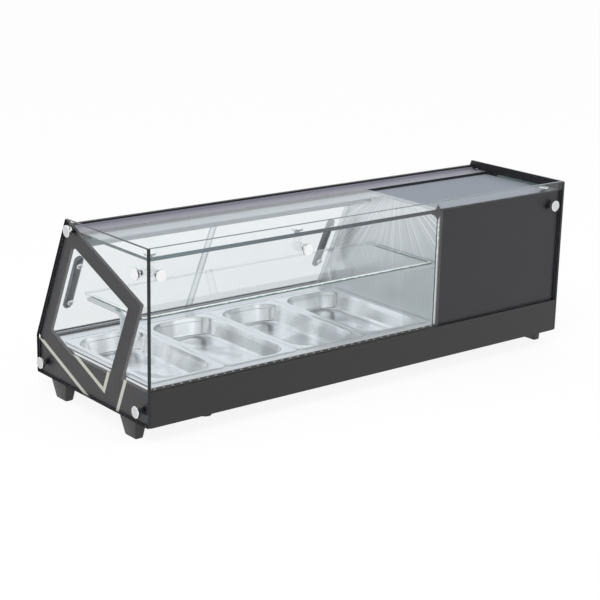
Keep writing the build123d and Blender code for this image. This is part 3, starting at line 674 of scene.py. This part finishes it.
satin_rail = brushed("satin_rail", (0.52, 0.55, 0.58), 0.3, (1.0, 30.0, 30.0))
lamp_lens = glowing("lamp_lens", (0.55, 0.58, 0.58), 0.2)
display_window = coated("display_window", (0.02, 0.006, 0.005), 0.1, relief=0.0)
clear_plastic = clear("clear_plastic", (0.975, 0.98, 0.98), 0.04, 0.05)

node_finishes = {
    "bay_front_panel": black_print, "left_pane_print": black_print, "right_pane_print": inner_print,
    "left_pane_lines": pale_print, "base_shell": black_steel, "bay_rear_panel": black_steel,
    "bay_roof_panel": roof_print_painted_reflection, "rear_header": header_coat_painted_sheen, "bay_rear_screws": chrome,
    "cable_gland": black_plastic, "compressor": compressor_paint, "compressor_mounts": black_rubber,
    "condenser": fin_metal, "drain_cap": black_plastic, "drain_spigot": white_plastic,
    "electrical_box": black_plastic, "evaporator_coil": copper_pipe, "fan_blade": fin_metal,
    "fan_motor": black_plastic, "fan_shroud": black_steel, "foam_insulation": foam_core,
    "light_strip": black_plastic, "light_strip_lamps": lamp_lens, "lower_track": sill_rail,
    "upper_track": rail_grey, "pan_bars": brushed_deep, "partition_skin": partition_steel_painted_glints,
    "well_liner": brushed_along, "well_surround": deck_steel, "shelf_bracket": satin_rail,
    "shelf_clips": clear_plastic, "refrigerant_pipes": copper_pipe, "switch_bodies": black_plastic,
    "temperature_probe": chrome, "thermostat": black_plastic, "thermostat_display": display_window,
    "set_key": grey_key, "down_key": grey_key, "up_key": grey_key,
    "power_rocker": black_plastic, "light_rocker": black_plastic,
}
for node_name, finish in node_finishes.items():
    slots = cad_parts[node_name].data.materials
    slots.clear()
    slots.append(finish)


# Glass

end_outline = [(0, 0), (DEPTH, 0), (DEPTH, BACK_TOP), (APEX_Y, GLASS_TOP), (0, GLASS_TOP)]
end_holes = [circle(place, BORE, turn=-1) for place in END_CAPS]
ENDS = (("left", 0.0, 1.0, left_face, rim_left), ("right", LENGTH, -1.0, right_face, rim_right))
GLASS_FINISHES = (0, 1, 2)
for side, outer_x, inwards, face, rim in ENDS:
    pane = Part().slab(rounded(end_outline, 2.5), end_holes, PANE, endwise(outer_x, inwards),
                       finishes=GLASS_FINISHES)
    pane.build(f"{side}_end_glass", "case", "clear_glass", (face, glass_back, rim), (f"{side}_end_pane",))

front_outline = rectangle(INNER_LEFT, INNER_RIGHT, BASE_TOP, GLASS_TOP)
front_holes = [circle((x, CAP_HEIGHT), BORE, turn=-1) for x in FRONT_CAPS]
pane = Part().slab(rounded(front_outline, 1.5), front_holes, PANE, upright(0.0), finishes=GLASS_FINISHES)
pane.build("front_glass", "case", "clear_glass", (front_face, front_back, rim_front), ("front_pane",))

roof_outline = rectangle(INNER_LEFT, INNER_RIGHT, 8.0, ROOF_REAR)
roof_holes = [circle((x, CAP_LINE), BORE, turn=-1) for x in FRONT_CAPS]
pane = Part().slab(rounded(roof_outline, 1.5), roof_holes, PANE, level(ROOF_TOP), finishes=GLASS_FINISHES)
pane.build("roof_glass", "case", "clear_glass", (roof_face, glass_back, rim_roof), ("roof_pane",))

SHELF_TOP = 210.0
SHELF_THICK = 6.0
shelf_outline = rectangle(8.5, 733.0, 25.0, 235.0)
pane = Part().slab(rounded(shelf_outline, 4.0), (), SHELF_THICK, level(SHELF_TOP), 1.0, GLASS_FINISHES)
pane.build("shelf_glass_pane", "case", "clear_glass", (glass_face, glass_back, rim_shelf), ("shelf_glass",))

# Each door's side, span along x, distance inside the slope, foot and the x of its grip
DOORS = (("left", (9.0, 378.0), 5.0, -1.0, 55.5), ("right", (352.0, 733.0), 17.0, 4.6, 699.0))
DOOR_GLASS = 5.0
DOOR_HEAD = 250.0
GRIP_LENGTH = 132.0
GRIP_WIDTH = 20.0
GRIP_THICK = 6.0
GRIP_MIDDLE = 126.0
NUT_HEIGHTS = (79.0, 173.0)


def obround(x, middle, length, width, steps=14):
    """Outline of a round-ended bar: two half circles of the bar's width."""
    half = (length - width) / 2
    angle = np.linspace(0, np.pi, steps)
    top = np.stack([x + width / 2 * np.cos(angle), middle + half + width / 2 * np.sin(angle)], -1)
    low = np.stack([x - width / 2 * np.cos(angle), middle - half - width / 2 * np.sin(angle)], -1)
    return np.concatenate([top, low])


for side, span, depth, foot, grip_x in DOORS:
    body = f"{side}_door"
    outline = rounded(rectangle(span[0], span[1], foot, DOOR_HEAD), 2.5)
    holes = [circle((grip_x, height), 3.5, 24, turn=-1) for height in NUT_HEIGHTS]
    pane = Part().slab(outline, holes, DOOR_GLASS, on_slope(depth), finishes=GLASS_FINISHES)
    pane.build(f"{body}_glass", body, "clear_glass", (door_face, door_back, rim_door), (f"door_{side}",))

    grip = Part()
    bar = obround(grip_x, GRIP_MIDDLE, GRIP_LENGTH, GRIP_WIDTH)
    side_line = [(0.6, 0.0), (0.0, 0.6), (0.0, GRIP_THICK), (6.0, GRIP_THICK)]
    section = softened(side_line, [0, 0.2, 2.2, 0])
    section = np.concatenate([[(3.4, 0.0)], section, [(6.6, GRIP_THICK - 0.5), (8.5, GRIP_THICK - 0.9)]])
    rings = []
    for step_in, height in section:
        ring = inset(bar, step_in)
        rings.append(leaned(np.stack([ring[:, 0], np.full(len(ring), height - depth), ring[:, 1]], -1)))
    rings = np.array(rings)
    grip.grid(rings[:2], 1, ring=True).grid(rings[1:], 0, ring=True)
    for ring in (rings[0], rings[-1]):
        grip.add(ring, np.arange(len(ring))[None])
    for height in NUT_HEIGHTS:
        post = leaned(np.array([grip_x, -depth + 0.5, height]))
        inward = np.array([0.0, -math.cos(LEAN), -math.sin(LEAN)])
        grip.turned([(0, 0), (2.5, 0), (2.5, 6.2), (2.1, 6.6), (0, 6.6)], post, inward, steps=20)
    grip.build(f"{body}_grip", body, "handle_grey", (slate_grip, light_border), (f"door_{side}_handle",))

    nuts = Part()
    for height in NUT_HEIGHTS:
        seat = leaned(np.array([grip_x, -depth - DOOR_GLASS, height]))
        washer = softened([(3.0, 0.0), (7.0, 0.0), (7.0, 1.2), (3.0, 1.2)], [0, 0.2, 0.35, 0])
        nuts.turned(np.concatenate([washer, washer[:1]]), seat, inward)
        crown = [(5.0, 1.25), (5.0, 3.4), (4.4, 4.5), (2.9, 4.5), (2.55, 4.1), (2.55, 1.25), (5.0, 1.25)]
        nuts.turned(crown, seat, inward, steps=6)
    nuts.build(f"{body}_grip_nuts", body, "chrome", (chrome,), (f"door_{side}_nuts",))


# Caps, connectors and seal

CAP_RADIUS = 12.0


def cap_lines(reach, neck):
    """Profiles of a cap's body and of its flat face, which ends a little inside the rim."""
    side = [(0.0, -8.0), (4.0, -8.0), (4.0, 0.0), (9.0, 0.0), (9.0, neck), (11.6, neck),
            (CAP_RADIUS, neck + 0.4), (CAP_RADIUS, reach - 0.8), (10.9, reach - 0.05)]
    body = softened(side, [0, 0.4, 0, 0.3, 0.3, 0.2, 0.3, 0.6, 0], 4)
    return body, [(10.9, reach - 0.05), (10.2, reach), (0.0, reach)]


def add_cap(part, base, axis, reach, neck, face):
    """One cap: its body polished, its face in the finish of the given index."""
    body, front = cap_lines(reach, neck)
    part.turned(body, base, axis).turned(front, base, axis, face)


caps = Part()
# Faces of caps that sit on black print are painted darker grey as shade; the rest are bright satin
for y, z in END_CAPS:
    add_cap(caps, (0.0, y, z), (-1, 0, 0), CAP_REACH, 4.5, 1 if z == CAP_HEIGHT else 2)
    add_cap(caps, (LENGTH, y, z), (1, 0, 0), CAP_REACH, 4.5, 2)
for x in FRONT_CAPS:
    face = 2 if x > PRINT_LEFT else 1
    add_cap(caps, (x, 0.0, CAP_HEIGHT), (0, -1, 0), CAP_REACH, 4.5, face)
    add_cap(caps, (x, CAP_LINE, ROOF_TOP), (0, 0, 1), 5.0, 0.3, face)
caps.build("chrome_caps", "case", "chrome", (chrome, satin_face, shaded_cap_face), ("glass_caps",))

LEG_GAP = 6.1
connectors = Part()
for x, side in zip(FRONT_CAPS, (-1.0, 0.0, 1.0)):
    centre = np.array([x, CAP_LINE, CAP_HEIGHT])
    arc = np.linspace(0, np.pi, 14)
    ball = np.stack([9.6 * np.sin(arc), -9.6 * np.cos(arc)], -1)
    connectors.turned(ball, centre, (0, 0, 1), steps=28)
    forward = CAP_LINE - LEG_GAP - (1.0 if side > 0 else 0.0)
    reaches = [((0, -1, 0), forward), ((0, 0, 1), ROOF_TOP - LEG_GAP - CAP_HEIGHT)]
    if side:
        wall = LENGTH if side > 0 else 0.0
        reaches.append(((side, 0, 0), abs(wall - x) - 6.5))
    for direction, reach in reaches:
        leg = [(0.0, 0.0), (7.6, 0.0), (7.6, reach - 2.4), (8.0, reach - 2.0), (8.0, reach - 0.3),
               (7.7, reach), (0.0, reach)]
        connectors.turned(leg, centre, direction, steps=28)
connectors.build("corner_connectors", "case", "clear_plastic", (clear_plastic,), ("glass_connectors",))

SEAL_Y = 6.05
SEAL_WIDE = 1.9
BAY_SEAL_WIDE = 1.2
SEAL_ENDS = (INNER_LEFT + 0.1, INNER_RIGHT - 0.1)
STAR = np.array([726.0, 320.0])
STAR_REACH = np.array([24.0, 18.0])
seal = Part()
for outline, depth in ((rectangle(SEAL_ENDS[0], PRINT_LEFT, 319.3, 326.9), SEAL_WIDE),
                       (rectangle(PRINT_LEFT, SEAL_ENDS[1], 320.3, 326.9), BAY_SEAL_WIDE),
                       (rectangle(724.2, 726.3, BASE_TOP + 0.2, 318.0), SEAL_WIDE)):
    seal.slab(rounded(outline, 0.6, 3), (), depth, upright(SEAL_Y), 0.3)
turn = np.linspace(0, 2 * np.pi, 48, endpoint=False)
star = STAR + STAR_REACH * np.stack([np.cos(turn), np.sin(turn)], -1) ** 3
seal.slab(star, (), SEAL_WIDE - 0.1, upright(SEAL_Y), 0.01)
seal.build("glazing_seal_bead", "case", "seal", (dark_seal,), ("glazing_seal",))


# Pans

def mouth(width, length, radius, steps=10):
    """Rounded rectangle about the origin."""
    corners = rectangle(-width / 2, width / 2, -length / 2, length / 2)
    return rounded(corners, radius, steps)


PAN_SIZE = (176.0, 325.0)
PAN_SHEET = 0.8
PAN_COUNT = 4
PAN_PITCH = 177.0
PAN_CORNER = np.array([24.0, 24.0])
RIM_WIDTH = 12.4
WALL_START = 4
WALL_SHIFT = 0.6
PAN_FLOOR = RIM_TOP - 39.2
inner_line = softened([(0.5, RIM_TOP), (RIM_WIDTH, RIM_TOP), (14.6, RIM_TOP - 9.3), (15.6, RIM_TOP - 10.1),
                       (21.6, PAN_FLOOR), (40.0, PAN_FLOOR - 0.2)],
                      [0, 2.2, 0.6, 0.6, 10.0, 0], 7)
# The underside lies a sheet's thickness lower, and on the walls a little further out
outer_line = inner_line - [0.0, PAN_SHEET]
outer_line[WALL_START:-1, 0] -= WALL_SHIFT
edge = np.array([(0.15, RIM_TOP - 0.15), (0.0, RIM_TOP - 0.4), (0.15, RIM_TOP - 0.65)])
pan_line = np.concatenate([inner_line[::-1], edge, outer_line])
for k in range(PAN_COUNT):
    middle = PAN_CORNER + [PAN_PITCH * k, 0.0] + np.array(PAN_SIZE) / 2
    rings = []
    for step_in, height in pan_line:
        share = np.clip(step_in / RIM_WIDTH, 0, 1)
        mouth_radius = np.clip(46.0 - 0.75 * (step_in - 13.0), 20.0, 46.0)
        radius = (14.0 - step_in) * (1 - share) + share * mouth_radius
        loop = mouth(PAN_SIZE[0] - 2 * step_in, PAN_SIZE[1] - 2 * step_in, radius)
        rings.append(np.concatenate([loop + middle, np.full((len(loop), 1), height)], 1))
    body = f"pan_{k + 1}"
    Part().loft(rings).build(f"gastro_{body}", body, "stainless", (pan_steel_painted_reflections,), (body,))


# Feet

FOOT_X = 9.75
FOOT_PLACES = (63.0, 319.0)
SOLE = (17.5, 38.0)
FLARE = (7.5, 20.0)
# Height, share of the flare and how far the edge is drawn in, from the sole up
FOOT_LEVELS = ((-34.0, 0.0, 1.6), (-33.2, 0.0, 0.4), (-32.0, 0.05, 0.0), (-6.0, 0.86, 0.0),
               (-3.5, 0.95, 0.0), (-2.8, 1.0, 0.0), (-0.1, 1.0, 0.0))
feet = Part()
for x, side in ((FOOT_X, 1.0), (LENGTH - FOOT_X, -1.0)):
    for y in FOOT_PLACES:
        rings = []
        for height, share, shrink in FOOT_LEVELS:
            width = SOLE[0] + FLARE[0] * share - shrink
            length = SOLE[1] + FLARE[1] * share - shrink
            loop = mouth(width, length, 3.0, 6) + [x + side * 3.75 * share, y + 8.0 * share]
            rings.append(np.concatenate([loop, np.full((len(loop), 1), height)], 1))
        feet.loft(rings)
feet.build("support_feet", "case", "black_plastic", (black_plastic,), ("feet",))


# Blank clear film at the front pane's lower right

FILM_THICK = 0.12
FILM_FRONT = -0.13
film_finish = clear("film", (0.90, 0.92, 0.92), 0.06, 0.2)
film_outline = rounded(rectangle(632.0, 716.0, 92.0, 206.0), 2.0)
film = Part().slab(film_outline, (), FILM_THICK, upright(FILM_FRONT), 0.03)
film.build("front_pane_film", "case", "clear_plastic", (film_finish,))


# Surroundings

def seen_directly(graph):
    """Two wires: 1 for rays of the camera, of reflections and of see-through surfaces, and 1 for
    reflections alone."""
    path = graph.node("ShaderNodeLightPath").socket.node.outputs
    shine = Wire(graph, path["Is Glossy Ray"])
    rays = Wire(graph, path["Is Camera Ray"]) + shine + Wire(graph, path["Is Transmission Ray"])
    return rays.maths("MINIMUM", rays, 1.0), shine


def studio():
    """White surroundings for the camera and for reflections, and even soft light for the rest."""
    world = bpy.data.worlds.new("studio")
    bpy.context.scene.world = world
    graph = Graph(world, "ShaderNodeOutputWorld")
    seen, shine = seen_directly(graph)
    tone = graph.blend(shine, 1.0, (0.94, 0.97, 1.0))
    graph.finish(graph.node("ShaderNodeBackground", {}, {0: tone, 1: 0.78 + 0.22 * seen}))


def floor():
    """Pale floor that looks white and keeps a faint shadow."""
    graph = new_finish("pale_floor")
    seen, _ = seen_directly(graph)
    matt = graph.node("ShaderNodeBsdfDiffuse", {}, {0: colour(0.8)})
    white = graph.node("ShaderNodeEmission", {}, {0: colour(1.0), 1: 1.04})
    finish = graph.finish(graph.node("ShaderNodeMixShader", {}, {0: seen * 0.86, 1: matt, 2: white}))
    reach = 30.0
    mesh = bpy.data.meshes.new("floor")
    corners = [(x, y, 0.0) for x, y in rectangle(-reach, reach, -reach, reach)]
    mesh.from_pydata(corners, [], [(0, 1, 2, 3)])
    mesh.materials.append(finish)
    plane = bpy.data.objects.new("floor", mesh)
    bpy.context.scene.collection.objects.link(plane)


def lamp(name, place, target, size, power):
    """Large soft lamp that faces a point."""
    data = bpy.data.lights.new(name, "AREA")
    data.shape = "DISK"
    data.size = size
    data.energy = power
    holder = bpy.data.objects.new(name, data)
    bpy.context.scene.collection.objects.link(holder)
    aim = np.asarray(place, float) - np.asarray(target, float)
    aim /= np.linalg.norm(aim)
    side = np.cross([0.0, 0.0, 1.0], aim)
    side /= np.linalg.norm(side)
    up = np.cross(aim, side)
    turn = np.eye(4)
    turn[:3, 0], turn[:3, 1], turn[:3, 2], turn[:3, 3] = side, up, aim, place
    holder.matrix_world = Matrix(turn.tolist())
    holder.visible_glossy = False


FOCAL_LENGTH = 93.92
CAMERA_RIGHT = (0.7809, -0.6242, 0.0219)
CAMERA_UP = (0.1571, 0.2302, 0.9604)
CAMERA_BACK = (-0.6046, -0.7465, 0.2779)
CAMERA_PLACE = (-2.0514, -2.4902, 1.0787)


def camera():
    """The photograph's camera, from lines of the case measured in it."""
    data = bpy.data.cameras.new("camera")
    data.sensor_width = 36.0
    data.lens = FOCAL_LENGTH
    holder = bpy.data.objects.new("camera", data)
    bpy.context.scene.collection.objects.link(holder)
    turn = np.eye(4)
    turn[:3, 0] = CAMERA_RIGHT
    turn[:3, 1] = CAMERA_UP
    turn[:3, 2] = CAMERA_BACK
    turn[:3, 3] = CAMERA_PLACE
    holder.matrix_world = Matrix(turn.tolist())
    bpy.context.scene.camera = holder


studio()
floor()
lamp("key_lamp", (-1.6, -1.4, 2.6), (0, 0, 0.15), 1.6, 26.0)
lamp("fill_lamp", (2.2, -2.0, 1.6), (0, 0, 0.15), 1.8, 12.0)
camera()
bpy.context.scene.view_settings.view_transform = "Standard"
bpy.context.scene.cycles.transparent_max_bounces = 32
